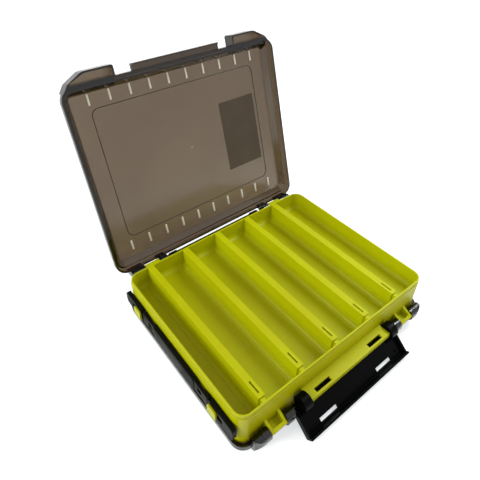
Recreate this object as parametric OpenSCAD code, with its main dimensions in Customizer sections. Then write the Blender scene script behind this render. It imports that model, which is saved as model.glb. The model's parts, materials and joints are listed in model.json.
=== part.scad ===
// Double-sided lure box with two hinged lids, two flap latches and a carry strap on its left side.
// Both halves are the same: everything above the middle plane is repeated below it, turned half
// a turn about the left-right axis. X runs along the hinges, -Y is the front and Z is up.
// The origin is the centre of the face that the box stands on. Lengths are in millimetres.

/* [Trays] */
// Clear width of each of the five wide trays
tray_w = 28.8; // [24:0.2:34]
// Clear width of the narrow tray at the strap side
narrow_w = 16.8; // [14:0.2:24]
// Thickness of a divider at its top
divider_w = 5.4; // [4:0.2:7]
// How much each side of a divider leans out towards the floor
divider_draft = 0.4; // [0:0.1:0.8]
// Radius between the floor and the walls
floor_fillet = 4.5; // [2:0.1:4.8]
// Space between the front wall and the end of a divider's full height
cap_gap = 3.2; // [2:0.1:5]
// Thickness of the low bridge that joins a divider to the front wall
bridge_w = 3; // [2:0.1:4]
// How far that bridge lies below the rim
bridge_drop = 1.6; // [0.8:0.1:4]
// Length of the slot in the top of each divider
cap_slot_len = 9.6; // [6:0.2:14]
// Width of that slot
cap_slot_w = 1.4; // [0.8:0.1:2]
// Depth of that slot
cap_slot_depth = 2; // [0.6:0.1:4]

/* [Body] */
// Depth of the body from front wall to back wall, outside
body_d = 148; // [136:1:160]
// Height of the body from rim to rim
body_h = 35; // [31:0.5:40]
// Thickness of the outer walls
wall = 1.6; // [1.2:0.1:2]
// Thickness of the floor between the two halves
floor_t = 1.8; // [1.2:0.1:3]
// Outside corner radius of the body
corner_r = 9; // [7:0.5:12]
// Height of the set-back band along each rim
rim_band = 3.4; // [2:0.1:5]
// How far that band is set back
rim_step = 0.5; // [0.2:0.1:0.7]

/* [Hinges] */
// Distance of a lid's hinge line from the body wall
hinge_out = 5.5; // [5.3:0.1:7]
// Distance of a lid's hinge line below the rim
hinge_drop = 8; // [7.6:0.1:9]
// Distance of a lug's middle from the body's side wall
lug_inset = 26.2; // [24:0.2:30]
// Width of a hinge lug
lug_w = 13.4; // [10:0.2:15]
// Radius of the rounded end of a lug
lug_r = 3.5; // [3:0.1:3.8]
// Thickness of a lug's walls
lug_wall = 2; // [1.4:0.1:2.4]
// Radius of the hinge ears of a lid
ear_r = 4.1; // [3.6:0.1:4.5]
// Depth of a pin's bore in a hinge ear
bore_len = 5; // [3:0.1:6]
// Play between the end of a pin and the end of its bore
end_play = 0.3; // [0.1:0.1:0.6]
// Radius of the stub pins on the lugs and on the ledges
pin_r = 1.7; // [1.4:0.05:2]
// Radial clearance of a pin in its bore
pin_fit = 0.06; // [0.02:0.01:0.1]
// Side clearance between parts that turn past each other
side_gap = 0.3; // [0.2:0.05:0.6]
// Angle of the open upper lid from its closed position
lid_open = 106; // [0:1:108]

/* [Lids] */
// How far a lid's flange stands out past the body wall
lid_over = 2.5; // [2.3:0.1:3]
// How much further it stands out at the back and front
lid_over_extra = 1; // [0.8:0.1:2]
// Thickness of a lid's flange wall
lid_wall = 1.6; // [1.2:0.1:1.8]
// How far a lid's flange reaches below the rim
lid_overlap = 3.7; // [3:0.1:4]
// Inside height of a lid above the rim
lid_rise = 5.6; // [4.6:0.1:7]
// Thickness of a lid's panel
panel_t = 1.6; // [1.2:0.1:2.2]
// Height by which the middle field of a panel is raised
emboss = 0.6; // [0.3:0.1:0.8]
// Outside corner radius of a lid
lid_corner_r = 10; // [9:0.5:13]
// Gap between the rim and the lid that lies on it
rim_gap = 0.3; // [0.2:0.1:0.5]
// Width of the raised field
field_w = 154; // [130:1:160]
// Distance of the raised field from the body's front wall line
field_front = 16.3; // [14:0.1:24]
// Distance of the raised field from the body's back wall line
field_back = 21.5; // [14:0.1:28]
// Corner radius of the raised field
field_r = 6; // [3:0.5:12]
// Length of the small ribs inside a lid
rib_len = 8.6; // [5:0.1:10]
// Width of those ribs
rib_w = 1.4; // [0.8:0.1:2]
// Height of those ribs
rib_h = 0.8; // [0.4:0.1:1.2]
// Distance of the front row of ribs from the front wall line
rib_front = 4.3; // [3.5:0.1:6]
// Distance of the back row of ribs from the back wall line
rib_back = 9.9; // [6:0.1:12]
// Number of ribs in a row
rib_n = 10; // [6:1:10]
// How far the corner pockets stand out past the body's front wall
tab_out = 12.6; // [11:0.1:14]
// Wall thickness of the corner pockets
tab_wall = 1.5; // [1:0.1:2]
// How far the catch strip stands out past the body's front wall
strip_out = 9.8; // [9:0.1:11]
// Length of the catch strip
strip_w = 80.2; // [60:0.2:82]
// Thickness of the catch strip
strip_t = 2.9; // [2:0.1:3.5]
// Width of the blank label inside the upper lid
label_w = 38.7; // [20:0.1:44]
// Height of that label
label_h = 64; // [30:1:80]
// Thickness of that label
label_t = 0.3; // [0.1:0.05:0.5]

/* [Ledges] */
// Width of the ledge that carries a latch
ledge_w = 85.4; // [83:0.2:90]
// How far a ledge stands out from the wall
ledge_out = 10.3; // [10:0.1:11]
// Distance of a ledge's flat face from the middle plane
ledge_drop = 1.4; // [1:0.1:2]
// Height of a ledge's front lip and ends
ledge_h = 4.6; // [4:0.1:6]
// Thickness of a ledge's flat plate and ends
ledge_t = 2; // [1.4:0.1:2.4]
// Thickness of a ledge's front lip
ledge_lip = 1.6; // [1.2:0.1:2]
// Length of each slot in a ledge
ledge_slot_len = 15.1; // [10:0.1:18]
// Width of each slot in a ledge
ledge_slot_w = 3.4; // [2:0.1:4]
// Distance of each slot's outer end from the ledge's end
ledge_slot_inset = 7.1; // [5:0.1:10]

/* [Latches] */
// Distance of a latch's hinge line from the body wall
latch_out = 7; // [6.8:0.1:7.4]
// Distance of a latch's hinge line from the middle plane
latch_drop = 3.8; // [3.4:0.1:4.4]
// Radius of a latch's round hub
hub_r = 6.2; // [5:0.1:6.4]
// Width of a hub
hub_w = 6.8; // [4:0.1:8]
// Thickness of the closed outer end of a hub
hub_cap = 1.4; // [0.8:0.1:2]
// How far a latch's arms reach up the inside of its flap, counted from the hinge line
arm_rise = 9.5; // [8:0.1:12]
// Width of a latch's flap
flap_w = 108; // [104:0.5:109]
// Thickness of the flap
flap_t = 1.8; // [1.4:0.1:2.4]
// Distance of the flap's inner face from the latch's hinge line
flap_off = 5.9; // [5.4:0.1:6.4]
// Where the flap starts, counted from the hinge line
flap_start = 2; // [1.5:0.1:3]
// Thickness of the hooked lip
lip_t = 1.6; // [1.2:0.1:2]
// How far the lip reaches over the catch strip
lip_bite = 2; // [1:0.1:2.4]
// Height of the flap's end walls
end_wall_h = 3; // [1:0.1:3.4]
// Thickness of the flap's end walls
end_wall_t = 1.8; // [1:0.1:2]
// Length of each window in the flap
window_len = 17; // [8:0.5:20]
// Height of each window
window_h = 3.3; // [2:0.1:3.6]
// Distance between the two windows
window_gap = 44; // [30:0.5:50]
// Radius of the small round dimple near one end of the flap
dimple_r = 1.3; // [0.8:0.1:1.8]
// Distance of that dimple from the flap's end
dimple_inset = 8.2; // [6:0.1:10]
// Distance of that dimple from the flap's free edge
dimple_drop = 6.4; // [4:0.1:9]
// Depth of that dimple
dimple_depth = 1; // [0.4:0.1:1.2]
// Height of the open front latch's free edge above the table
table_gap = 0.3; // [0.2:0.1:1]
// How far the rear latch stands ajar, just off its catch
ajar = 8; // [8:1:12]

/* [Strap] */
// Height of the carry strap
strap_h = 12.4; // [10:0.2:14]
// Thickness of the carry strap
strap_t = 3.4; // [3.2:0.1:5]
// Gap between the strap and the side wall
strap_gap = 0.6; // [0.5:0.1:2]
// Distance of the strap's ends from the corners of the side wall
strap_inset = 3; // [1:0.1:6]
// How much thicker the grip is than the rest
grip_extra = 0.6; // [0:0.1:1.5]
// Length of each link from pivot to pivot
link_len = 14.3; // [12:0.1:16]
// Distance from a link's outer pivot to the inner end of the strap's slot
slot_start = 3.8; // [3.6:0.1:6]
// Length of that slot
slot_len = 13.8; // [12:0.1:16]
// Height of that slot and of the windows in the links
slot_h = 5.2; // [4:0.1:6]
// Length of the solid end past the slot
end_len = 10.8; // [8:0.1:14]
// Radius of the strap's outer corners
strap_r = 3; // [1:0.1:4]
// How far the grip pulls out
pull = 9.5; // [4:0.1:10]
// Length of a knob's stem
stem_len = 7; // [4:0.1:7.5]
// Overhang of a knob's head past its stem
head_over = 1.2; // [1:0.1:1.6]
// Thickness of a knob's head
head_t = 1.4; // [1:0.1:2.4]
// Clearance of a stem in its slot
stem_gap = 0.4; // [0.3:0.05:0.8]

/* [Hidden] */
$fn = 48;
TRAYS = 5;
ARC_STEPS = 5;
EPS = 0.01;
yellow = [0.72, 0.78, 0.10];
smoke = [0.42, 0.38, 0.33, 0.8];
black = [0.06, 0.06, 0.06];

// Body
inner_w = TRAYS * (tray_w + divider_w) + narrow_w;
half_in = inner_w / 2;
half_w = half_in + wall;
half_d = body_d / 2;
half_d_in = half_d - wall;
half_h = body_h / 2;
half_floor = floor_t / 2;
pitch = tray_w + divider_w;
body_core = [half_w - corner_r, half_d - corner_r];

// Lids, all of the upper one in its closed position
lid_w = half_w + lid_over;
lid_d = half_d + lid_over + lid_over_extra;
lid_core = [lid_w - lid_corner_r, lid_d - lid_corner_r];
skirt_z = half_h - lid_overlap;
ledge_z = half_h + rim_gap;
panel_z = half_h + lid_rise;
lid_top = panel_z + panel_t;
flange_top = ledge_z + lid_wall - 0.2;
seat_in = lid_over + wall - 0.1;
slope = 3.5;
lid_front = lid_d + 1;
mid_z = lid_top + emboss;
hinge_y = half_d + hinge_out;
hinge_z = half_h - hinge_drop;
strip_top = half_h + 0.8;
lug_x = half_w - lug_inset;

// Latches
latch_y = -(half_d + latch_out);
latch_z = -latch_drop;
lip_z = strip_top + rim_gap - latch_z;
flap_end = lip_z + lip_t;
lip_y = -(half_d + strip_out - lip_bite) - latch_y;
flap_y = -(flap_off + flap_t);
window_top = lip_z - 1.2;
free_r = norm([flap_y, flap_end]);
axis_height = mid_z + latch_z;
// The front latch falls open until its free edge is just above the table
latch_open = acos(max(-1, -(axis_height - table_gap) / free_r)) - atan2(-flap_y, flap_end);

// Strap
strap_x = -(half_w + strap_gap + strap_t / 2);
barrel_r = strap_t / 2;
// From each end inwards: the solid end, the slot, the link, and the grip between the two links
strap_end = half_d - strap_inset;
slot_in = strap_end - end_len - slot_len;
pivot_out = slot_in - slot_start;
pivot_in = pivot_out - link_len;
stem_y = slot_in + stem_gap + stem_len / 2;
stem_h = slot_h - 2 * stem_gap;
// A link turns by this much while the grip comes out, and draws its end loop in by this much
link_turn = asin(pull / link_len);
loop_travel = link_len * (1 - cos(link_turn));
// At half travel the loop is this much ahead of the link, so its socket is that much longer
socket_play = loop_travel / 2 - link_len * (1 - cos(link_turn / 2)) + 0.05;

// ---- Helpers ----

// Points of an arc in a plane
function arc(centre, radius, from, to) =
    [for (i = [0 : ARC_STEPS]) let (a = from + (to - from) * i / ARC_STEPS)
        centre + radius * [cos(a), sin(a)]];

// Rectangle with round corners, given by its half sizes
module round_rect(half_x, half_y, r) {
    square([2 * half_x, 2 * (half_y - r)], center = true);
    square([2 * (half_x - r), 2 * half_y], center = true);
    for (sx = [-1, 1], sy = [-1, 1])
        translate([sx * (half_x - r), sy * (half_y - r)]) circle(r);
}

// Solid with round corners whose side is any outline: a core box from z0 to z1, and the outline,
// drawn with x as the distance from the core, run along its four sides and round its corners
module bowl(core, z0, z1) {
    translate([-core[0], -core[1], z0]) cube([2 * core[0], 2 * core[1], z1 - z0]);
    for (m = [0, 1]) {
        mirror([m, 0, 0]) translate([core[0], core[1], 0])
            rotate([90, 0, 0]) linear_extrude(2 * core[1]) children();
        mirror([0, m, 0]) translate([-core[0], core[1], 0])
            rotate([90, 0, 90]) linear_extrude(2 * core[0]) children();
    }
    for (mx = [0, 1], my = [0, 1])
        mirror([mx, 0, 0]) mirror([0, my, 0]) translate([core[0], core[1], 0])
            rotate_extrude(angle = 90) children();
}

// Runs a flat outline, drawn as [y, z], along X from x0 to x1
module along_x(x0, x1) {
    translate([x0, 0, 0]) rotate([90, 0, 90]) linear_extrude(x1 - x0) children();
}

// Repeats its children on the left and on the right
module both_sides() {
    for (m = [0, 1]) mirror([m, 0, 0]) children();
}

// Moves what is drawn about the middle plane up to its place above the table
module lift() {
    translate([0, 0, mid_z]) children();
}

// The lower half is the upper half turned half a turn about X
module turned() {
    rotate([180, 0, 0]) children();
}

// Turns its children about a line along X
module turn_about(y, z, angle) {
    translate([0, y, z]) rotate([angle, 0, 0]) translate([0, -y, -z]) children();
}

// ---- Body ----

// Space inside the upper half, down to the floor, with its fillets
module tray_space() {
    r_in = corner_r - wall;
    low = half_floor + floor_fillet;
    bowl(body_core, half_floor, half_h + 1)
        polygon(concat(
            [[0, half_floor]],
            arc([r_in - floor_fillet, low], floor_fillet, -90, 0),
            [[r_in, half_h + 1], [0, half_h + 1]]));
}

// Outer walls and the floor between the two halves
module shell() {
    band = half_h - rim_band;
    set_back = corner_r - rim_step;
    color(yellow) lift() difference() {
        bowl(body_core, -half_h, half_h)
            polygon([[0, -half_h], [set_back, -half_h], [set_back, -band], [corner_r, -band],
                [corner_r, band], [set_back, band], [set_back, half_h], [0, half_h]]);
        tray_space();
        turned() tray_space();
    }
}

// Middle of divider number k, where 1 is next to the narrow tray
function divider_x(k) = half_in - (TRAYS + 1 - k) * pitch + divider_w / 2;

// One divider of the upper half
module divider(k) {
    half_top = divider_w / 2;
    half_foot = half_top + divider_draft;
    low = half_floor + floor_fillet;
    reach = half_foot + floor_fillet;
    cap_len = body_d - 2 * wall - cap_gap;
    cap_r = 1.8;
    color(yellow) lift() intersection() {
        translate([divider_x(k), 0, 0]) difference() {
            union() {
                // Wall of full height, with a rounded front end
                intersection() {
                    translate([0, half_d, 0]) rotate([90, 0, 0]) linear_extrude(body_d)
                        polygon([[-half_foot, 0], [half_foot, 0], [half_top, half_h],
                            [-half_top, half_h]]);
                    translate([0, half_d_in - cap_len / 2 + 5, 0])
                        linear_extrude(half_h) round_rect(half_foot, cap_len / 2 + 5, cap_r);
                }
                // Foot with a fillet on each side
                translate([0, half_d, 0]) rotate([90, 0, 0]) linear_extrude(body_d)
                    polygon(concat(
                        [[-reach, 0]],
                        arc([-reach, low], floor_fillet, -90, 0),
                        arc([reach, low], floor_fillet, 180, 270),
                        [[reach, 0]]));
                // Low bridge to the front wall
                translate([-bridge_w / 2, -half_d, 0])
                    cube([bridge_w, wall + cap_gap + cap_r, half_h - bridge_drop]);
            }
            translate([0, -half_d_in + cap_gap + 3.2, half_h - cap_slot_depth])
                translate([-cap_slot_w / 2, 0, 0])
                    cube([cap_slot_w, cap_slot_len, cap_slot_depth + 1]);
        }
        tray_space();
    }
}

// The same divider in the lower half
module lower_divider(k) {
    lift() turned() translate([0, 0, -mid_z]) divider(k);
}

// Hinge lug of the upper lid, on the back wall, with its two stub pins
module lug(x) {
    gusset_z = ledge_drop + 2.6;
    end_y = hinge_y + lug_r;
    top_z = hinge_z + lug_r;
    bar_z = hinge_z - 1.5;
    stub = side_gap + bore_len - end_play;
    color(yellow) translate([x, 0, 0]) {
        difference() {
            along_x(-lug_w / 2, lug_w / 2)
                polygon(concat(
                    [[half_d, gusset_z], [end_y, bar_z], [end_y, hinge_z]],
                    arc([hinge_y, hinge_z], lug_r, 0, 90),
                    [[half_d, top_z]]));
            along_x(-lug_w / 2 + lug_wall, lug_w / 2 - lug_wall)
                polygon([[half_d - 1, 0], [end_y - lug_wall, 0],
                    [end_y - lug_wall, top_z - lug_wall], [half_d - 1, top_z - lug_wall]]);
        }
        both_sides() along_x(lug_w / 2 - EPS, lug_w / 2 + stub)
            translate([hinge_y, hinge_z]) circle(pin_r);
    }
}

module lug_rear_left() { lift() lug(-lug_x); }
module lug_rear_right() { lift() lug(lug_x); }
module lug_front_left() { lift() turned() lug(-lug_x); }
module lug_front_right() { lift() turned() lug(lug_x); }

// Ledge on the front wall that carries the front latch, with its two stub pins
module ledge() {
    top = -ledge_drop;
    low = top - ledge_h;
    front = -(half_d + ledge_out);
    half = ledge_w / 2;
    slot_x = half - ledge_slot_inset - ledge_slot_len;
    color(yellow) {
        difference() {
            translate([-half, front, top - ledge_t]) cube([ledge_w, ledge_out, ledge_t]);
            both_sides() translate([slot_x, front + ledge_lip, top - ledge_t - 1])
                cube([ledge_slot_len, ledge_slot_w, ledge_t + 2]);
        }
        translate([-half, front, low]) cube([ledge_w, ledge_lip, ledge_h]);
        both_sides() {
            translate([half - ledge_t, front, low]) cube([ledge_t, ledge_out, ledge_h]);
            along_x(half - EPS, half + side_gap + hub_w - hub_cap - end_play)
                translate([latch_y, latch_z]) circle(pin_r);
        }
    }
}

module front_ledge() { lift() ledge(); }
module rear_ledge() { lift() turned() ledge(); }

// Mushroom knob that holds one end of the strap; side is -1 at the front and 1 at the back
module knob(side) {
    head_x = -(half_w + strap_gap + strap_t + side_gap);
    half_stem = stem_len / 2;
    color(yellow) lift() translate([0, side * stem_y, 0]) {
        along_x(head_x - EPS, -half_w) round_rect(half_stem, stem_h / 2, 1.2);
        along_x(head_x - head_t, head_x)
            round_rect(half_stem + head_over, stem_h / 2 + 2 * head_over, 1.6);
    }
}

module knob_front() { knob(-1); }
module knob_rear() { knob(1); }

// ---- Lids ----

// Outline of a corner pocket, seen from above, on the right half
function tab_outline(inset) =
    let (x0 = flap_w / 2 + 0.5 + inset,
         y0 = -(half_d + tab_out) + inset,
         x1 = lid_w - 19.8 - inset / 2,
         x2 = lid_w - 7.5 - inset,
         y2 = -(lid_front + 1.5))
    [[x0, -lid_core[1]], [x0, y0 + 1], [x0 + 1, y0], [x1 - 1.5, y0], [x1 + 1, y0 + 0.5],
     [x2, y2], [lid_w - inset - 3.2, -(lid_d - 3)], [lid_w - inset - 5, -lid_core[1]]];

// Row of short ribs under the panel, starting at y
module rib_row(y) {
    for (i = [0 : rib_n - 1])
        translate([(i - (rib_n - 1) / 2) * pitch / 2 - rib_w / 2, y, panel_z - rib_h])
            cube([rib_w, rib_len, rib_h + EPS]);
}

// Rectangle of the raised field of the panel
module field() {
    length = body_d - field_front - field_back;
    translate([0, (field_front - field_back) / 2]) round_rect(field_w / 2, length / 2, field_r);
}

// Eye of a hinge ear and its arm up to the flange, drawn as [y, z]
module ear_outline() {
    reach = lid_d - lid_wall - hinge_y;
    arm_top = flange_top - hinge_z - 0.6;
    translate([hinge_y, hinge_z]) {
        circle(ear_r);
        polygon([[reach, 0], [ear_r, 0], [ear_r, 3], [reach + 3, arm_top], [reach, arm_top]]);
    }
}

// The two ears beside a lug, seen from above, on the right half. The inner one ends just past the
// latch of the other lid, and the outer one runs into the lid's corner along a common tangent.
module ear_plan() {
    ear_y = hinge_y + ear_r;
    rise = ear_y - lid_d;
    inner_x = flap_w / 2 + 2 * side_gap;
    inner_r = 2;
    polygon(concat(
        [[inner_x, lid_core[1]]],
        arc([inner_x + inner_r, ear_y - inner_r], inner_r, 180, 90),
        arc(lid_core + [-rise, rise], lid_corner_r, 90, 45),
        arc(lid_core, lid_corner_r, 45, 0),
        [lid_core]));
}

// Both ears on the right half
module ears() {
    gap = lug_w / 2 + side_gap;
    low_z = hinge_z - ear_r;
    intersection() {
        union() {
            along_x(flap_w / 2, lug_x - gap) ear_outline();
            along_x(lug_x + gap, lid_core[0] + 1) ear_outline();
        }
        translate([0, 0, low_z]) linear_extrude(lid_top - low_z) ear_plan();
    }
}

// The upper lid in its closed position
module lid() {
    r = lid_corner_r;
    seat = r - seat_in;
    bore_x = lug_w / 2 + side_gap + bore_len;
    strip_front = -(half_d + strip_out);
    color(smoke) difference() {
        union() {
            difference() {
                union() {
                    bowl(lid_core, skirt_z, lid_top)
                        polygon([[0, skirt_z], [r, skirt_z], [r, flange_top - 0.8],
                            [r - 0.6, flange_top], [seat + lid_wall, flange_top + 0.2],
                            [seat + lid_wall - slope + 0.1, lid_top], [0, lid_top]]);
                    translate([0, 0, lid_top - EPS]) linear_extrude(emboss + EPS) field();
                    both_sides() translate([0, 0, skirt_z]) linear_extrude(lid_top - skirt_z)
                        polygon(tab_outline(0));
                    // Band along the front, and the catch strip on it
                    translate([-(lid_w - r), -lid_front, skirt_z])
                        cube([2 * (lid_w - r), lid_front - lid_d + 1, flange_top - skirt_z]);
                    translate([-strip_w / 2, strip_front, strip_top - strip_t])
                        cube([strip_w, -strip_front - lid_d + 1, strip_t]);
                    translate([-strip_w / 2, strip_front, skirt_z + 0.6])
                        cube([strip_w, 1.2, strip_t]);
                    both_sides() ears();
                }
                // Inside of the lid: the seat on the rim, then a sloping wall up to the panel
                bowl(lid_core, skirt_z - 1, panel_z)
                    polygon([[0, skirt_z - 1], [r - lid_wall, skirt_z - 1], [r - lid_wall, ledge_z],
                        [seat, ledge_z], [seat - slope, panel_z], [0, panel_z]]);
                // Hollow of each corner pocket
                both_sides() translate([0, 0, skirt_z - 1])
                    linear_extrude(panel_z - skirt_z + 1) intersection() {
                        polygon(tab_outline(tab_wall));
                        translate([0, -(lid_front + 40)]) square([2 * lid_w, 40 - 0.2]);
                    }
                // Recess behind the raised field
                translate([0, 0, panel_z - EPS]) linear_extrude(emboss + EPS) field();
            }
            rib_row(-half_d + rib_front);
            rib_row(half_d - rib_back - rib_len);
        }
        both_sides() along_x(lug_x - bore_x, lug_x + bore_x)
            translate([hinge_y, hinge_z]) circle(pin_r + pin_fit);
    }
}

module upper_lid() {
    lift() turn_about(hinge_y, hinge_z, -lid_open) lid();
}

module lower_lid() {
    lift() turned() lid();
}

// Blank dark label on the inner face of the upper lid
module lid_label() {
    color([0.2, 0.17, 0.15]) lift() turn_about(hinge_y, hinge_z, -lid_open)
        translate([field_w / 2 - 3 - label_w, -label_h / 2, panel_z + emboss - label_t])
            cube([label_w, label_h, label_t]);
}

// ---- Latches ----

// Arm of a latch beside the ledge, drawn as [y, z] about its hinge line
module arm_outline() {
    circle(hub_r);
    polygon([[0, 0], [-hub_r, 0], [flap_y, flap_start], [flap_y, arm_rise], [-flap_off, arm_rise],
        [-hub_r / 3, hub_r * 0.94]]);
}

// A latch in its closed position, with its hinge line on the X axis
module latch() {
    half = flap_w / 2;
    hub_x = ledge_w / 2 + side_gap;
    window_x = window_gap / 2;
    color(black) difference() {
        union() {
            translate([-half, flap_y, flap_start]) cube([flap_w, flap_t, flap_end - flap_start]);
            translate([-half, -flap_off - EPS, lip_z]) cube([flap_w, lip_y + flap_off, lip_t]);
            both_sides() {
                along_x(hub_x, hub_x + hub_w) arm_outline();
                along_x(half - end_wall_t, half)
                    polygon([[-flap_off - EPS, 4], [-flap_off + end_wall_h, 8],
                        [-flap_off + end_wall_h, flap_end], [-flap_off - EPS, flap_end]]);
            }
        }
        both_sides() {
            translate([window_x, flap_y - 1, window_top - window_h])
                cube([window_len, flap_t + 2, window_h]);
            along_x(hub_x - 1, hub_x + hub_w - hub_cap) circle(pin_r + pin_fit);
        }
        translate([half - dimple_inset, -flap_off + 1, flap_end - dimple_drop])
            rotate([90, 0, 0]) cylinder(r = dimple_r, h = 1 + dimple_depth);
    }
}

module front_latch() {
    lift() translate([0, latch_y, latch_z]) rotate([latch_open, 0, 0]) latch();
}

module rear_latch() {
    lift() turned() translate([0, latch_y, latch_z]) rotate([ajar, 0, 0]) latch();
}

// ---- Carry strap ----

// Runs a flat outline, drawn as [x, y] about the strap's middle line, over the strap's height
module over_strap() {
    translate([strap_x, 0, -strap_h / 2]) linear_extrude(strap_h) children();
}

// Slot or window through the strap, from y0 to y1
module strap_slot(y0, y1) {
    translate([strap_x, (y0 + y1) / 2, 0])
        along_x(-strap_t, strap_t) round_rect((y1 - y0) / 2, slot_h / 2, 1.6);
}

// Grip, hollowed at each end for the round end of a link
module strap_grip() {
    color(black) lift() difference() {
        intersection() {
            over_strap() translate([-barrel_r - grip_extra, -pivot_in])
                square([strap_t + grip_extra, 2 * pivot_in]);
            translate([strap_x, 0, 0]) along_x(-strap_t, strap_t)
                round_rect(pivot_in, strap_h / 2, 1);
        }
        for (s = [-1, 1])
            over_strap() translate([0, s * pivot_in]) {
                circle(barrel_r + side_gap);
                translate([-strap_t, s > 0 ? -0.6 : -2]) square([2 * strap_t, 2.6]);
            }
    }
}

// Link between the grip and an end loop; side is -1 at the front and 1 at the back
module link(side) {
    color(black) lift() mirror([0, side < 0 ? 1 : 0, 0]) difference() {
        over_strap() {
            translate([0, pivot_in]) circle(barrel_r);
            translate([0, pivot_out]) circle(barrel_r);
            translate([-barrel_r, pivot_in]) square([strap_t, link_len]);
        }
        strap_slot(pivot_in + 2.6, pivot_in + 8.2);
    }
}

// End loop, which slides on its knob
module loop(side) {
    socket_r = barrel_r + side_gap + 0.1;
    color(black) lift() mirror([0, side < 0 ? 1 : 0, 0]) difference() {
        intersection() {
            over_strap() translate([-barrel_r, pivot_out]) square([strap_t, strap_end - pivot_out]);
            translate([strap_x, strap_end - 20, 0])
                along_x(-strap_t, strap_t) {
                    round_rect(20, strap_h / 2, strap_r);
                    translate([-30, -strap_h / 2]) square([30, strap_h]);
                }
        }
        over_strap() translate([0, pivot_out + socket_play]) {
            circle(socket_r);
            translate([-strap_t, -5]) square([2 * strap_t, 5]);
        }
        strap_slot(slot_in, slot_in + slot_len);
    }
}

module strap_link_front() { link(-1); }
module strap_link_rear() { link(1); }
module strap_loop_front() { loop(-1); }
module strap_loop_rear() { loop(1); }

// ---- Assembly ----

shell();
front_ledge();
rear_ledge();
lug_front_left();
lug_front_right();
lug_rear_left();
lug_rear_right();
knob_front();
knob_rear();
divider(1);  // upper_divider_1
divider(2);  // upper_divider_2
divider(3);  // upper_divider_3
divider(4);  // upper_divider_4
divider(5);  // upper_divider_5
lower_divider(1);  // lower_divider_1
lower_divider(2);  // lower_divider_2
lower_divider(3);  // lower_divider_3
lower_divider(4);  // lower_divider_4
lower_divider(5);  // lower_divider_5
upper_lid();
lid_label();
lower_lid();
front_latch();
rear_latch();
strap_grip();
strap_link_front();
strap_link_rear();
strap_loop_front();
strap_loop_rear();
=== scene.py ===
"""Dresses and stages the two-sided tackle box: yellow trays, smoke-tinted lids, black latches and strap.

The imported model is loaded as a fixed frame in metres, with X along the hinges, -Y to the front and Z up.
Each sub-assembly is a class that takes its sizes from the frame, builds what the frame leaves out and
gives every piece its finish.
"""

import json
import logging
import math
from dataclasses import dataclass, field
from enum import Enum
from typing import Dict, List, Optional, Sequence, Tuple

import bmesh
import bpy
from mathutils import Matrix, Vector

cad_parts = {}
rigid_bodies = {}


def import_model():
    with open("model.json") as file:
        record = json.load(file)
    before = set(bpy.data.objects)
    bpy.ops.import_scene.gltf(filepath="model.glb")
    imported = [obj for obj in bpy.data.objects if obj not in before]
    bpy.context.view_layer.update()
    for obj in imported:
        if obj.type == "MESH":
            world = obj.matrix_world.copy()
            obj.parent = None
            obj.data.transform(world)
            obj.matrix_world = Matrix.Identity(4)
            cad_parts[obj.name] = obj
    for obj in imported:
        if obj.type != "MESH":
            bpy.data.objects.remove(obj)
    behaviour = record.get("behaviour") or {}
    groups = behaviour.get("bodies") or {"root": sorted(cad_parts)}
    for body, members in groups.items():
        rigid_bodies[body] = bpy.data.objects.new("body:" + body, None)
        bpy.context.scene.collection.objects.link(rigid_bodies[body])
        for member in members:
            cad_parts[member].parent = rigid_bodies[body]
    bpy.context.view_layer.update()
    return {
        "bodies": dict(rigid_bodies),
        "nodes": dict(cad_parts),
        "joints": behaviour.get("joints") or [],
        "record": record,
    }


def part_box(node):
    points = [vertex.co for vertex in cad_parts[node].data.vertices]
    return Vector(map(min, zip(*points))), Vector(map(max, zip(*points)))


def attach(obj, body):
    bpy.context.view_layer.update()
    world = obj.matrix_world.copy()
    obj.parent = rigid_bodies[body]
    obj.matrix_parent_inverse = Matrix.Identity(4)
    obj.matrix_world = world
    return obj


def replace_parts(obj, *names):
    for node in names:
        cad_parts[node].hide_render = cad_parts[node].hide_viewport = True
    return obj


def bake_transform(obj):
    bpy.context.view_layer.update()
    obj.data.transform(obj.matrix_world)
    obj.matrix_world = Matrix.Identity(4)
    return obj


log = logging.getLogger("tackle_box")

PHOTO_SIDE = 480
MM = 0.001
TINY = 1e-6
SMOOTH_DEGREES = 40.0

Colour = Tuple[float, float, float]
Point = Tuple[float, float, float]
Span = Tuple[float, float]

WHITE: Colour = (1.0, 1.0, 1.0)


class Ray(Enum):
    """The kinds of ray for which the backdrop is plain white."""

    CAMERA = "Is Camera Ray"
    GLOSSY = "Is Glossy Ray"
    TRANSMISSION = "Is Transmission Ray"


class Mixed(Enum):
    """What a Mix node mixes, with the places of its two inputs and of its output."""

    VECTOR = (4, 5, 1)
    RGBA = (6, 7, 2)


# ---- Shader helpers ----


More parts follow.
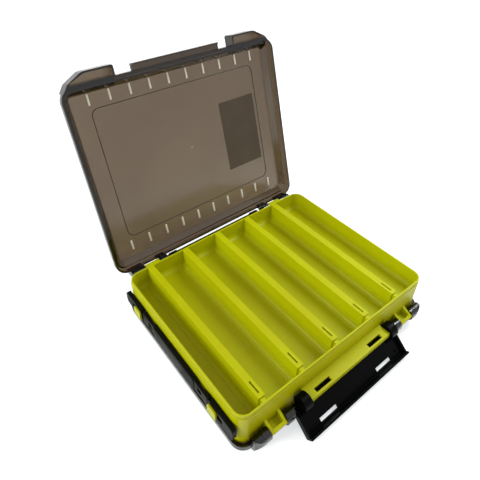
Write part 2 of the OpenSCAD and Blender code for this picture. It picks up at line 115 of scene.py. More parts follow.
class Nodes:
    """A short way to place and join the nodes of one tree."""

    def __init__(self, tree: bpy.types.NodeTree) -> None:
        """Starts from an empty tree.

        Args:
            tree: The node tree to fill.
        """
        self.tree = tree
        tree.nodes.clear()

    def add(self, kind: str, values: Optional[Dict[str, object]] = None,
            **settings: object) -> bpy.types.Node:
        """Adds a node.

        Args:
            kind: The node's type name.
            values: What feeds its inputs, by their names.
            settings: Properties to set on it.

        Returns:
            The new node.
        """
        node = self.tree.nodes.new(kind)
        for name, value in settings.items():
            setattr(node, name, value)
        for name, value in (values or {}).items():
            self.feed(node.inputs[name], value)
        return node

    def join(self, out: bpy.types.NodeSocket, into: bpy.types.NodeSocket) -> None:
        """Joins an output to an input."""
        self.tree.links.new(out, into)

    def feed(self, into: bpy.types.NodeSocket, value: object) -> None:
        """Joins an output to an input, or sets the input to a plain value.

        Args:
            into: The input.
            value: An output, a number, or three numbers.
        """
        if isinstance(value, bpy.types.NodeSocket):
            self.join(value, into)
        elif into.type == "RGBA":
            into.default_value = (*value, 1.0)
        else:
            into.default_value = value

    def given(self, name: str) -> bpy.types.NodeSocket:
        """The group's own input of that name."""
        return self.tree.nodes["in"].outputs[name]

    def put_out(self, name: str, value: bpy.types.NodeSocket) -> None:
        """Joins a value to the group's own output of that name."""
        self.join(value, self.tree.nodes["out"].inputs[name])

    def maths(self, operation: str, *values: object) -> bpy.types.NodeSocket:
        """Adds a Math node.

        Args:
            operation: The operation's name.
            values: Sockets or numbers for its inputs.

        Returns:
            Its output.
        """
        node = self.add("ShaderNodeMath", operation=operation)
        for socket, value in zip(node.inputs, values):
            self.feed(socket, value)
        return node.outputs[0]

    def ramp(self, value: bpy.types.NodeSocket, source: Span,
             result: Span = (0.0, 1.0)) -> bpy.types.NodeSocket:
        """Maps a value from one range to another, eased and held at its ends.

        Args:
            value: The socket to map.
            source: Values that give the first and the last result.
            result: First and last result.

        Returns:
            The mapped value.
        """
        node = self.add("ShaderNodeMapRange", {
            "Value": value, "From Min": source[0], "From Max": source[1],
            "To Min": result[0], "To Max": result[1]}, interpolation_type="SMOOTHSTEP")
        return node.outputs["Result"]

    def noise(self, place: bpy.types.NodeSocket, scale: object, detail: float, rough: float = 0.5,
              twist: float = 0.0) -> bpy.types.NodeSocket:
        """Adds a noise texture.

        Args:
            place: The coordinates, in metres.
            scale: Its waves a metre, a socket or a number.
            detail: Number of finer layers.
            rough: How strong these are.
            twist: How far the whole is distorted.

        Returns:
            Its value, about 0.5.
        """
        node = self.add("ShaderNodeTexNoise", {
            "Vector": place, "Scale": scale, "Detail": detail, "Roughness": rough, "Distortion": twist})
        return node.outputs["Fac"]

    def mix(self, kind: Mixed, share: bpy.types.NodeSocket, first: object,
            second: object) -> bpy.types.NodeSocket:
        """Mixes two colours or vectors.

        Args:
            kind: Which of these.
            share: Share of the second one.
            first: The first, a socket or three numbers.
            second: The second, a socket or three numbers.

        Returns:
            The mixture.
        """
        node = self.add("ShaderNodeMix", data_type=kind.name)
        first_place, second_place, result = kind.value
        self.join(share, node.inputs[0])
        self.feed(node.inputs[first_place], first)
        self.feed(node.inputs[second_place], second)
        return node.outputs[result]


def new_group(name: str, inputs: Sequence[Tuple[str, float]], outputs: Sequence[str],
              vectors: Sequence[str] = ()) -> Nodes:
    """Makes a shader node group.

    Args:
        name: The group's name.
        inputs: Name and default of each input, a plain value.
        outputs: Name of each output that is a plain value.
        vectors: Name of each output that is a vector.

    Returns:
        The helper for its tree, with nodes named "in" and "out".
    """
    tree = bpy.data.node_groups.new(name, "ShaderNodeTree")
    for label, value in inputs:
        socket = tree.interface.new_socket(label, in_out="INPUT", socket_type="NodeSocketFloat")
        socket.default_value = value
    for label in outputs:
        tree.interface.new_socket(label, in_out="OUTPUT", socket_type="NodeSocketFloat")
    for label in vectors:
        tree.interface.new_socket(label, in_out="OUTPUT", socket_type="NodeSocketVector")
    nodes = Nodes(tree)
    nodes.add("NodeGroupInput", name="in")
    nodes.add("NodeGroupOutput", name="out")
    return nodes


@dataclass(frozen=True)
class Relief:
    """One layer of a moulded surface's relief.

    Attributes:
        scale: Its waves a metre.
        detail: Number of finer layers in it.
        rough: How strong these are.
        height: Its height, in metres.
    """

    scale: float
    detail: float
    rough: float
    height: float


@dataclass
class Effects:
    """The effects that several finishes share, each as one node group.

    A range says where its mask is 0 and where it is 1. A corner's turn is given by its cosine.

    Attributes:
        fine: The fine grain.
        slow: The slow waves of the tool's surface.
        corner_rays: Number of rays that look for a corner.
        feather: Turn of a feather edge, and of the sharpest corner that is fully rounded.
        edge_highlight: Turn at which wear starts, and at which it is full.
        smear_detail: Number of finer layers in the smears.
        smear_twist: How far they are distorted.
        smears: Range of their noise.
        scratch_detail: Number of finer layers in the scratches.
        scratch_turn: How the scratches lie, as turns about x, y and z in radians.
        scratch_stretch: How much narrower they are than long, along x, y and z.
        scratches: Range of their noise.
        grain: The group of the relief.
        edges: The group of rounded edges and of the highlight painted along them.
        handling: The group of smears and scratches.
    """

    fine: Relief = Relief(scale=3800.0, detail=3.0, rough=0.6, height=0.012 * MM)
    slow: Relief = Relief(scale=70.0, detail=1.0, rough=0.5, height=0.11 * MM)
    corner_rays: int = 6
    feather: Span = (0.45, 0.65)
    edge_highlight: Span = (0.995, 0.80)
    smear_detail: float = 5.0
    smear_twist: float = 1.6
    smears: Span = (0.42, 0.70)
    scratch_detail: float = 1.0
    scratch_turn: Point = (0.3, 0.5, 0.6)
    scratch_stretch: Point = (1.0, 22.0, 6.0)
    scratches: Span = (0.66, 0.72)
    grain: bpy.types.NodeTree = field(init=False)
    edges: bpy.types.NodeTree = field(init=False)
    handling: bpy.types.NodeTree = field(init=False)

    def __post_init__(self) -> None:
        """Builds the groups once."""
        self.grain = self._grain()
        self.edges = self._edges()
        self.handling = self._handling()

    def _grain(self) -> bpy.types.NodeTree:
        """Fine moulded grain over slow waves of the tool's surface.

        Returns:
            The group, with a Height in metres.
        """
        g = new_group("Moulded grain", [("Grain", 1.0), ("Waves", 1.0)], ["Height"])
        place = g.add("ShaderNodeTexCoord").outputs["Object"]
        layers = []
        for layer, strength in ((self.fine, "Grain"), (self.slow, "Waves")):
            noise = g.noise(place, layer.scale, layer.detail, layer.rough)
            layers.append(g.maths("MULTIPLY", g.maths("MULTIPLY", noise, g.given(strength)), layer.height))
        g.put_out("Height", g.maths("ADD", *layers))
        return g.tree

    def _edges(self) -> bpy.types.NodeTree:
        """Edges, shaded round, and a mask of where they are, along which a highlight is painted.

        A feather edge would turn the normal further than any corner does, and is left as it is.

        Returns:
            The group, with an Edge mask and the rounded Normal.
        """
        g = new_group("Rounded edges", [("Radius", 0.6 * MM)], ["Edge"], ["Normal"])
        bevel = g.add("ShaderNodeBevel", {"Radius": g.given("Radius")}, samples=self.corner_rays)
        surface = g.add("ShaderNodeNewGeometry")
        dot = g.add("ShaderNodeVectorMath", operation="DOT_PRODUCT")
        g.join(bevel.outputs["Normal"], dot.inputs[0])
        g.join(surface.outputs["True Normal"], dot.inputs[1])
        corner = g.ramp(dot.outputs["Value"], self.feather)
        # The Edge mask marks where a highlight is painted along the edges.
        g.put_out("Edge", g.maths("MULTIPLY", g.ramp(dot.outputs["Value"], self.edge_highlight), corner))
        g.put_out("Normal", g.mix(Mixed.VECTOR, corner, surface.outputs["Normal"], bevel.outputs["Normal"]))
        return g.tree

    def _handling(self) -> bpy.types.NodeTree:
        """Finger smears and hairline scratches of a box that is used.

        Returns:
            The group, with a Smear and a Scratch mask.
        """
        g = new_group("Handling", [("Smear size", 30.0), ("Scratch size", 55.0)], ["Smear", "Scratch"])
        place = g.add("ShaderNodeTexCoord").outputs["Object"]
        smear = g.noise(place, g.given("Smear size"), self.smear_detail, twist=self.smear_twist)
        g.put_out("Smear", g.ramp(smear, self.smears))
        stretched = g.add("ShaderNodeMapping", {
            "Vector": place, "Rotation": self.scratch_turn, "Scale": self.scratch_stretch}).outputs["Vector"]
        scratch = g.noise(stretched, g.given("Scratch size"), self.scratch_detail)
        g.put_out("Scratch", g.ramp(scratch, self.scratches))
        return g.tree


# ---- Finishes ----


@dataclass(frozen=True)
class Finish:
    """A moulded plastic, how it is worn, and the highlight painted along its edges.

    Attributes:
        name: Name of the material.
        colour: Its colour.
        deep: Its colour where it lies in patches a little darker.
        edge: Its colour along the edges, a painted highlight, which scratches take as well.
        edge_share: How far the edges take that colour, a painted highlight; it also scales the scratches.
        rough: Roughness of clean surface.
        worn_rough: Roughness where it is smeared.
        grain: Strength of the fine grain.
        waves: Strength of the slow waves.
        rounding: Radius by which edges are shaded round, in metres, 0 for sharp ones.
        shine: Strength of its reflections, 0.5 for plain plastic.
        glow: How far light scatters inside, 0 for none.
        glow_reach: How deep it scatters, in metres.
        glow_tint: How deep red, green and blue light go, as shares of that.
        clear: Share of light that passes through.
        coat: Strength of the glossy skin.
        coat_rough: Roughness of that skin.
        sheen: Strength of the soft sheen.
        index: Index of refraction.
        stain: Tint of the light that a metre of the plastic leaves, for a clear one.
        depth: How fast light fades in it, per metre, 0 for none.
        patch_scale: Waves a metre of the darker patches.
        patch_detail: Number of finer layers in them.
        patches: Values of their noise that give the deep colour and the plain one.
        smear_size: Waves a metre of the smears.
        scratch_size: Waves a metre of the scratches, along them.
        scratch_share: How far a scratch shows, as a share of what an edge does.
    """

    name: str
    colour: Colour
    deep: Colour
    edge: Colour
    edge_share: float
    rough: float
    worn_rough: float
    grain: float
    waves: float
    rounding: float
    shine: float
    glow: float = 0.0
    glow_reach: float = 3.0 * MM
    glow_tint: Colour = (1.0, 0.9, 0.15)
    clear: float = 0.0
    coat: float = 0.0
    coat_rough: float = 0.12
    sheen: float = 0.0
    index: float = 1.5
    stain: Colour = (0.5, 0.5, 0.5)
    depth: float = 0.0
    patch_scale: float = 14.0
    patch_detail: float = 4.0
    patches: Span = (0.35, 0.65)
    smear_size: float = 30.0
    scratch_size: float = 55.0
    scratch_share: float = 0.25

    def material(self, effects: Effects) -> bpy.types.Material:
        """Builds the finish as a material.

        Args:
            effects: The shared effects.

        Returns:
            The material.
        """
        made = bpy.data.materials.new(self.name)
        made.use_nodes = True
        n = Nodes(made.node_tree)
        grain = n.add("ShaderNodeGroup", {"Grain": self.grain, "Waves": self.waves}, node_tree=effects.grain)
        handling = n.add("ShaderNodeGroup", {
            "Smear size": self.smear_size, "Scratch size": self.scratch_size}, node_tree=effects.handling)
        bump = n.add("ShaderNodeBump", {"Height": grain.outputs["Height"], "Distance": 1.0, "Strength": 1.0})

        noise = n.noise(n.add("ShaderNodeTexCoord").outputs["Object"], self.patch_scale, self.patch_detail)
        body = n.mix(Mixed.RGBA, n.ramp(noise, self.patches), self.deep, self.colour)
        # Scratches take the edge colour as real wear; along the edges that colour is a painted highlight.
        scratch_and_edge_highlight = n.maths("MULTIPLY", handling.outputs["Scratch"], self.edge_share * self.scratch_share)
        if self.rounding > 0.0:
            edges = n.add("ShaderNodeGroup", {"Radius": self.rounding}, node_tree=effects.edges)
            edge_highlight = n.maths("MULTIPLY", edges.outputs["Edge"], self.edge_share)
            scratch_and_edge_highlight = n.maths("MAXIMUM", edge_highlight, scratch_and_edge_highlight)
            n.join(edges.outputs["Normal"], bump.inputs["Normal"])

        shader = n.add("ShaderNodeBsdfPrincipled", {
            "Base Color": n.mix(Mixed.RGBA, scratch_and_edge_highlight, body, self.edge),
            "Roughness": n.ramp(handling.outputs["Smear"], (0.0, 1.0), (self.rough, self.worn_rough)),
            "Normal": bump.outputs["Normal"],
            "IOR": self.index,
            "Subsurface Weight": self.glow,
            "Subsurface Radius": self.glow_tint,
            "Subsurface Scale": self.glow_reach,
            "Transmission Weight": self.clear,
            "Coat Weight": self.coat,
            "Coat Roughness": self.coat_rough,
            "Sheen Weight": self.sheen,
            "Specular IOR Level": self.shine,
        })
        out = n.add("ShaderNodeOutputMaterial", {"Surface": shader.outputs["BSDF"]})
        if self.depth > 0.0:
            inside = n.add("ShaderNodeVolumeAbsorption", {"Color": self.stain, "Density": self.depth})
            n.join(inside.outputs["Volume"], out.inputs["Volume"])
        return made


# Each finish's edge colour is a painted highlight along its edges, and also the colour of its scratches.
YELLOW_PLASTIC = Finish(
    name="yellow_plastic", colour=(0.485, 0.495, 0.001), deep=(0.455, 0.452, 0.0005), edge=(0.62, 0.70, 0.04),
    edge_share=0.5, rough=0.36, worn_rough=0.48, grain=0.8, waves=0.7, rounding=0.45 * MM,
    glow=0.22, glow_reach=2.0 * MM, coat=0.02, shine=0.14)
SMOKE_PLASTIC = Finish(
    name="smoke_plastic", colour=(0.395, 0.315, 0.245), deep=(0.35, 0.275, 0.21), edge=(0.50, 0.45, 0.38),
    edge_share=0.0, rough=0.13, worn_rough=0.20, grain=0.0, waves=0.35, rounding=0.0, clear=1.0,
    shine=0.08, stain=(0.47, 0.415, 0.34), depth=1400.0)
# Pale colour of the lids' ribs: a painted highlight.
PAINTED_RIB_HIGHLIGHT = Finish(
    name="frosted_smoke", colour=(0.74, 0.69, 0.60), deep=(0.66, 0.61, 0.52), edge=(0.90, 0.86, 0.78),
    edge_share=0.7, rough=0.28, worn_rough=0.40, grain=0.6, waves=0.5, rounding=0.25 * MM, shine=0.6)
RUBBED_SMOKE = Finish(
    name="rubbed_smoke", colour=(0.25, 0.21, 0.17), deep=(0.19, 0.16, 0.13), edge=(0.42, 0.37, 0.32),
    edge_share=0.6, rough=0.30, worn_rough=0.40, grain=0.6, waves=0.5, rounding=0.15 * MM, shine=0.5)
# Dark colour of the line round the raised fields: painted shade along their step.
PAINTED_STEP_SHADE = Finish(
    name="painted_step_shade", colour=(0.030, 0.023, 0.016), deep=(0.024, 0.018, 0.013), edge=(0.06, 0.05, 0.04),
    edge_share=0.3, rough=0.3, worn_rough=0.4, grain=0.3, waves=0.5, rounding=0.0, shine=0.25)
BLACK_PLASTIC = Finish(
    name="black_plastic", colour=(0.0018, 0.0022, 0.0020), deep=(0.0012, 0.0014, 0.0013),
    edge=(0.009, 0.010, 0.009), edge_share=0.4, rough=0.28, worn_rough=0.40, grain=1.4, waves=0.8,
    rounding=0.4 * MM, shine=0.045)
STRAP_PLASTIC = Finish(
    name="strap_plastic", colour=(0.0028, 0.0028, 0.0024), deep=(0.0018, 0.0018, 0.0015),
    edge=(0.012, 0.012, 0.010), edge_share=0.4, rough=0.46, worn_rough=0.58, grain=2.4, waves=1.0,
    rounding=0.5 * MM, sheen=0.004, shine=0.08)
LABEL_FILM = Finish(
    name="label_film", colour=(0.084, 0.062, 0.047), deep=(0.068, 0.050, 0.038), edge=(0.12, 0.095, 0.075),
    edge_share=0.4, rough=0.42, worn_rough=0.52, grain=0.6, waves=1.4, rounding=0.1 * MM, shine=0.12)


# ---- Mesh helpers ----


def placed(name: str, data: bpy.types.ID) -> bpy.types.Object:
    """Makes an object and puts it in the scene.

    Args:
        name: Its name.
        data: Its mesh, camera or light.

    Returns:
        The new object.
    """
    obj = bpy.data.objects.new(name, data)
    bpy.context.scene.collection.objects.link(obj)
    return obj


def piece(name: str, verts: Sequence[Sequence[float]], faces: Sequence[Sequence[int]]) -> bpy.types.Object:
    """Makes a mesh object from points.

    Args:
        name: Its name.
        verts: The points.
        faces: The faces, as indices of points.

    Returns:
        The new object, in the scene.
    """
    mesh = bpy.data.meshes.new(name)
    mesh.from_pydata(verts, [], faces)
    mesh.validate()
    return placed(name, mesh)


def paint(obj: bpy.types.Object, material: bpy.types.Material) -> None:
    """Gives a piece one material in all its slots.

    Args:
        obj: The piece.
        material: The material.
    """
    obj.data.materials.clear()
    obj.data.materials.append(material)


def rounded(obj: bpy.types.Object, radius: float, steps: int) -> bpy.types.Object:
    """Rounds the edges of an object, bakes its modifiers into its mesh and shades it smooth.

    Args:
        obj: The object.
        radius: How far the rounding reaches from an edge.
        steps: Faces across it.

    Returns:
        The same object.
    """
    edge = obj.modifiers.new("edge", "BEVEL")
    edge.width = radius
    edge.segments = steps
    edge.limit_method = "ANGLE"
    graph = bpy.context.evaluated_depsgraph_get()
    made = bpy.data.meshes.new_from_object(obj.evaluated_get(graph))
    obj.modifiers.clear()
    old, obj.data = obj.data, made
    bpy.data.meshes.remove(old)
    made.shade_smooth()
    made.set_sharp_from_angle(angle=math.radians(SMOOTH_DEGREES))
    return obj


def skin(rings: int, steps: int, closed: bool) -> List[Tuple[int, ...]]:
    """Joins rings of points into a skin.

    Args:
        rings: Number of rings.
        steps: Points in a ring.
        closed: Whether the last ring is joined to the first.

    Returns:
        The faces, as indices of points.
    """
    faces = []
    for ring in range(rings if closed else rings - 1):
        a, b = ring * steps, (ring + 1) % rings * steps
        for k in range(steps):
            n = (k + 1) % steps
            faces.append((a + k, a + n, b + n, b + k))
    return faces


# ---- Studio ----


@dataclass(frozen=True)
class Lamp:
    """A square soft lamp.

    Attributes:
        name: Its name.
        place: Where it stands, in metres.
        aim: The point that it faces.
        side: Side of the square.
        watts: Its power.
        tint: Its colour.
    """

    name: str
    place: Point
    aim: Point
    side: float
    watts: float
    tint: Colour

    def build(self) -> None:
        """Puts the lamp up."""
        data = bpy.data.lights.new(self.name, "AREA")
        data.shape = "SQUARE"
        data.size = self.side
        data.energy = self.watts
        data.color = self.tint
        lamp = placed(self.name, data)
        lamp.location = self.place
        lamp.rotation_euler = (Vector(self.aim) - Vector(self.place)).to_track_quat("-Z", "Y").to_euler()


@dataclass
class Studio:
    """Camera, lamps, floor and world.

    Attributes:
        place: The camera's place in metres.
        target: The point that it looks at.
        roll: Its roll in degrees.
        focal_px: Its focal length in pixels of the photograph.
        centre_px: Where its axis meets the photograph, in pixels.
        sensor: Width of its sensor in millimetres.
        clip: Nearest and farthest that it sees, in metres.
        key: The large lamp on the left.
        fill: The small lamp on the right.
        ambient: Strength of the world's soft light.
        ambient_tint: Colour of that light.
        floor_side: Side of the floor in metres.
        floor_drop: How far the floor lies below the box, in metres.
        floor_colour: Its colour.
        lift: Strength of the white that is laid over it where it is looked at.
        lift_tint: Colour of that.
    """

    place: Point = (-0.1772, -0.1721, 0.3107)
    target: Point = (-0.0022, 0.0491, 0.0954)
    roll: float = 0.36
    focal_px: float = 440.5
    centre_px: Span = (236.7, 197.4)
    sensor: float = 36.0
    clip: Span = (0.01, 60.0)
    key: Lamp = Lamp("key", place=(-1.40, 0.28, 0.80), aim=(0.0, 0.02, 0.05), side=0.70, watts=16.8,
                     tint=(0.90, 1.0, 0.90))
    fill: Lamp = Lamp("fill", place=(0.36, -0.06, 0.50), aim=(0.15, -0.02, 0.05), side=0.25, watts=2.1,
                      tint=(0.90, 1.0, 0.92))
    ambient: float = 0.52
    ambient_tint: Colour = (1.0, 0.90, 0.82)
    floor_side: float = 12.0
    floor_drop: float = 0.1 * MM
    floor_colour: Colour = (0.80, 0.80, 0.80)
    lift: float = 0.64
    lift_tint: Colour = (0.91, 0.96, 1.0)

    def camera(self) -> None:
        """Puts the camera where the photograph was taken from."""
        data = bpy.data.cameras.new("camera")
        cam = placed("camera", data)
        data.sensor_width = self.sensor
        data.lens = self.sensor * self.focal_px / PHOTO_SIDE
        data.shift_x = 0.5 - self.centre_px[0] / PHOTO_SIDE
        data.shift_y = self.centre_px[1] / PHOTO_SIDE - 0.5
        data.clip_start, data.clip_end = self.clip
        ahead = Vector(self.target) - Vector(self.place)
        turn = ahead.to_track_quat("-Z", "Y").to_matrix().to_4x4()
        roll = Matrix.Rotation(math.radians(self.roll), 4, "Z")
        cam.matrix_world = Matrix.Translation(self.place) @ turn @ roll
        bpy.context.scene.camera = cam

    @staticmethod
    def finish_tree(n: Nodes, output: str, lit: bpy.types.Node, seen: bpy.types.Node) -> None:
        """Ends a tree with one shader for plain light and another for the rays that see white.

        Args:
            n: The tree.
            output: Type name of its output node.
            lit: The shader that gives light to the box.
            seen: The shader that is looked at.
        """
        path = n.add("ShaderNodeLightPath")
        share, *others = (path.outputs[ray.value] for ray in Ray)
        for other in others:
            share = n.maths("MAXIMUM", share, other)
        mixed = n.add("ShaderNodeMixShader")
        for socket, value in zip(mixed.inputs, (share, lit.outputs[0], seen.outputs[0])):
            n.join(value, socket)
        n.add(output, {"Surface": mixed.outputs[0]})

    def world(self) -> None:
        """Soft warm light all round, seen as white."""
        world = bpy.data.worlds.new("studio")
        bpy.context.scene.world = world
        world.use_nodes = True
        n = Nodes(world.node_tree)
        soft = n.add("ShaderNodeBackground", {"Color": self.ambient_tint, "Strength": self.ambient})
        white = n.add("ShaderNodeBackground", {"Color": WHITE, "Strength": 1.0})
        self.finish_tree(n, "ShaderNodeOutputWorld", soft, white)

    def floor(self) -> None:
        """A plain pale table top that keeps the shadow."""
        half = self.floor_side / 2
        corner_points = [(-half, -half, 0), (half, -half, 0), (half, half, 0), (-half, half, 0)]
        floor = piece("floor", corner_points, [(0, 1, 2, 3)])
        floor.location.z = -self.floor_drop
        material = bpy.data.materials.new("pale_floor")
        material.use_nodes = True
        n = Nodes(material.node_tree)
        matt = n.add("ShaderNodeBsdfDiffuse", {"Color": self.floor_colour})
        lift = n.add("ShaderNodeEmission", {"Color": self.lift_tint, "Strength": self.lift})
        total = n.add("ShaderNodeAddShader")
        n.join(matt.outputs[0], total.inputs[0])
        n.join(lift.outputs[0], total.inputs[1])
        self.finish_tree(n, "ShaderNodeOutputMaterial", matt, total)
        paint(floor, material)

    def build(self) -> None:
        """Sets the whole studio up."""
        bpy.context.scene.view_settings.view_transform = "Standard"
        self.camera()
        self.world()
        self.floor()
        self.key.build()
        self.fill.build()
        log.info("studio: camera, two lamps, floor and world")


# ---- Sub-assemblies ----


@dataclass
class TrayBody:
    """The yellow body with its ledges, lugs, knobs and dividers.

    Attributes:
        nodes: Names of its nodes in the frame.
    """

    nodes: Sequence[str]

    def dress(self, frame: dict, material: bpy.types.Material) -> None:
        """Gives each node its plastic.

        Args:
            frame: The loaded frame.
            material: The yellow plastic.
        """
        for name in self.nodes:
            paint(frame["nodes"][name], material)
        log.info("body: %d nodes", len(self.nodes))


class Side(Enum):
    """The two lids: the upper one stands open, the lower one is closed."""

    UPPER = "upper_lid"
    LOWER = "lower_lid"


@dataclass
class LidPlace:
    """Carries what is drawn on a closed upper lid over to either lid.

    Lid places are in millimetres: x, y as in the frame, and z counted up from the body's middle plane.

    Attributes:
        side: Which lid.
        middle: Height of the body's middle plane, in metres.
        hinge: The upper lid's hinge line, as its y and z in metres.
        opened: Angle by which the upper lid stands open, in degrees.
    """

    side: Side
    middle: float
    hinge: Span
    opened: float

    @classmethod
    def read(cls, frame: dict, side: Side) -> "LidPlace":
        """Works the place out from the frame's joints.

        Args:
            frame: The loaded frame.
            side: Which lid.

        Returns:
            The place.
        """
        joints = {joint["child"]: joint for joint in frame["record"]["behaviour"]["joints"]}
        upper, lower = joints[Side.UPPER.value], joints[Side.LOWER.value]
        middle = (upper["pos_m"][2] + lower["pos_m"][2]) / 2
        return cls(side, middle, (upper["pos_m"][1], upper["pos_m"][2]), upper["range_deg"][1])

    def matrix(self) -> Matrix:
        """Works out how this lid stands.

        Returns:
            The turn from the closed upper lid to this lid, in metres.
        """
        lift = Matrix.Translation((0.0, 0.0, self.middle))
        if self.side is Side.LOWER:
            return lift @ Matrix.Rotation(math.pi, 4, "X")
        centre = Matrix.Translation((0.0, *self.hinge))
        turn = Matrix.Rotation(-math.radians(self.opened), 4, "X")
        return centre @ turn @ centre.inverted() @ lift

    def carry(self, obj: bpy.types.Object) -> bpy.types.Object:
        """Moves a piece drawn in millimetres on the closed upper lid to this lid and ties it on.

        Args:
            obj: The piece.

        Returns:
            The same piece, riding on the lid.
        """
        obj.data.transform(self.matrix() @ Matrix.Scale(MM, 4))
        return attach(obj, self.side.value)


@dataclass
class Lid:
    """One smoke-tinted lid: its panel, the ribs, pale with a painted highlight, the line round its raised
    field, dark with painted shade, and its gate mark.

    Lengths are in millimetres on the closed upper lid, with y to the back.

    Attributes:
        side: Which lid.
        label: Name of the node of its blank label, if it has one.
        panel_z: Height of the panel's inner face above the middle plane.
        rib_pitch: Distance between ribs.
        rib_count: Number of ribs in a row.
        rib_rows: Middle of each row of ribs.
        rib_size: Width, length and height of a rib.
        rib_root: How far a rib goes into the panel.
        rib_soft: Rounding of a rib's edges, as a share of its width.
        rib_steps: Faces across that rounding.
        field_half: Half the width of the raised field.
        field_ends: Front and back edge of the raised field.
        field_round: Corner radius of the raised field.
        field_steps: Straight pieces in such a corner.
        field_rise: Height by which the field is raised.
        line: Radius of the line round it.
        line_sides: Faces round that line.
        gate: Radius of the gate mark.
        gate_rings: Radius of each of its rings, as a share of that, and its height over the field.
        gate_steps: Faces round the gate mark.
    """

    side: Side
    label: Optional[str] = None
    panel_z: float = 23.1
    rib_pitch: float = 17.1
    rib_count: int = 10
    rib_rows: Span = (-65.4, 59.8)
    rib_size: Point = (1.8, 8.9, 1.0)
    rib_root: float = 0.02
    rib_soft: float = 0.3
    rib_steps: int = 3
    field_half: float = 77.0
    field_ends: Span = (-57.7, 52.5)
    field_round: float = 6.0
    field_steps: int = 8
    field_rise: float = 0.6
    line: float = 0.32
    line_sides: int = 6
    gate: float = 1.1
    gate_rings: Sequence[Span] = ((1.1, 0.01), (1.0, -0.22), (0.8, -0.34), (0.55, -0.30), (0.35, -0.16),
                                  (0.0, -0.12))
    gate_steps: int = 24

    def ribs(self) -> bpy.types.Object:
        """Builds the two rows of rounded ribs.

        Returns:
            One object, in lid millimetres.
        """
        width, length, height = self.rib_size
        made = bmesh.new()
        for row in self.rib_rows:
            for k in range(self.rib_count):
                x = (k - (self.rib_count - 1) / 2) * self.rib_pitch
                bar = bmesh.ops.create_cube(made, size=1.0)["verts"]
                bmesh.ops.scale(made, vec=(width, length, height), verts=bar)
                bmesh.ops.translate(made, vec=(x, row, self.panel_z - height / 2 + self.rib_root), verts=bar)
        mesh = bpy.data.meshes.new("ribs")
        made.to_mesh(mesh)
        made.free()
        return rounded(placed(f"{self.side.value}_ribs", mesh), width * self.rib_soft, self.rib_steps)

    def outline(self) -> List[Span]:
        """Walks round the raised field.

        Returns:
            The points of its edge, as x and y.
        """
        x_in = self.field_half - self.field_round
        front, back = self.field_ends[0] + self.field_round, self.field_ends[1] - self.field_round
        points = []
        for start, x, y in ((0, x_in, back), (90, -x_in, back), (180, -x_in, front), (270, x_in, front)):
            for k in range(self.field_steps + 1):
                a = math.radians(start + 90 * k / self.field_steps)
                points.append((x + self.field_round * math.cos(a), y + self.field_round * math.sin(a)))
        return points

    def field_line(self) -> bpy.types.Object:
        """Builds the fine dark line, painted shade, in the corner of the raised field's edge.

        Returns:
            A closed thin tube, in lid millimetres.
        """
        points = self.outline()
        count = len(points)
        z = self.panel_z + self.line / 2
        verts = []
        for i, (x, y) in enumerate(points):
            (ax, ay), (bx, by) = points[i - 1], points[(i + 1) % count]
            along = Vector((bx - ax, by - ay)).normalized()
            out = Vector((along.y, -along.x))
            for k in range(self.line_sides):
                a = 2 * math.pi * k / self.line_sides
                reach = self.line * math.cos(a)
                verts.append((x + out.x * reach, y + out.y * reach, z + self.line * math.sin(a)))
        obj = piece(f"{self.side.value}_field_line", verts, skin(count, self.line_sides, closed=True))
        obj.data.shade_smooth()
        return obj

    def gate_mark(self) -> bpy.types.Object:
        """Builds the round mark that the mould's gate leaves in the middle of the panel.

        Returns:
            A low ring with a dimple, in lid millimetres.
        """
        top = self.panel_z + self.field_rise
        middle = (self.field_ends[0] + self.field_ends[1]) / 2
        verts = []
        for share, height in self.gate_rings:
            radius = self.gate * share
            for k in range(self.gate_steps):
                a = 2 * math.pi * k / self.gate_steps
                verts.append((radius * math.cos(a), radius * math.sin(a), top + height))
        faces = skin(len(self.gate_rings), self.gate_steps, closed=False)
        obj = piece(f"{self.side.value}_gate_mark", verts, faces)
        obj.data.transform(Matrix.Translation((0.0, middle, 0.0)))
        obj.data.shade_smooth()
        return obj

    def build(self, frame: dict, finishes: "Finishes") -> None:
        """Dresses the lid's node and adds its fine parts.

        Args:
            frame: The loaded frame.
            finishes: The finishes.
        """
        place = LidPlace.read(frame, self.side)
        paint(frame["nodes"][self.side.value], finishes.smoke)
        if self.label:
            paint(frame["nodes"][self.label], finishes.film)
        # The ribs are painted pale as a highlight, and the field line dark as shade.
        for obj, finish in ((self.ribs(), finishes.frosted), (self.field_line(), finishes.line),
                            (self.gate_mark(), finishes.rubbed)):
            paint(obj, finish)
            place.carry(obj)
            log.info("%s: %d faces", obj.name, len(obj.data.polygons))


@dataclass
class Latch:
    """One black flap latch.

    Attributes:
        body: Name of its body and node.
    """

    body: str

    def dress(self, frame: dict, material: bpy.types.Material) -> None:
        """Gives the latch its plastic.

        Args:
            frame: The loaded frame.
            material: The black plastic.
        """
        paint(frame["nodes"][self.body], material)
        log.info("%s dressed", self.body)


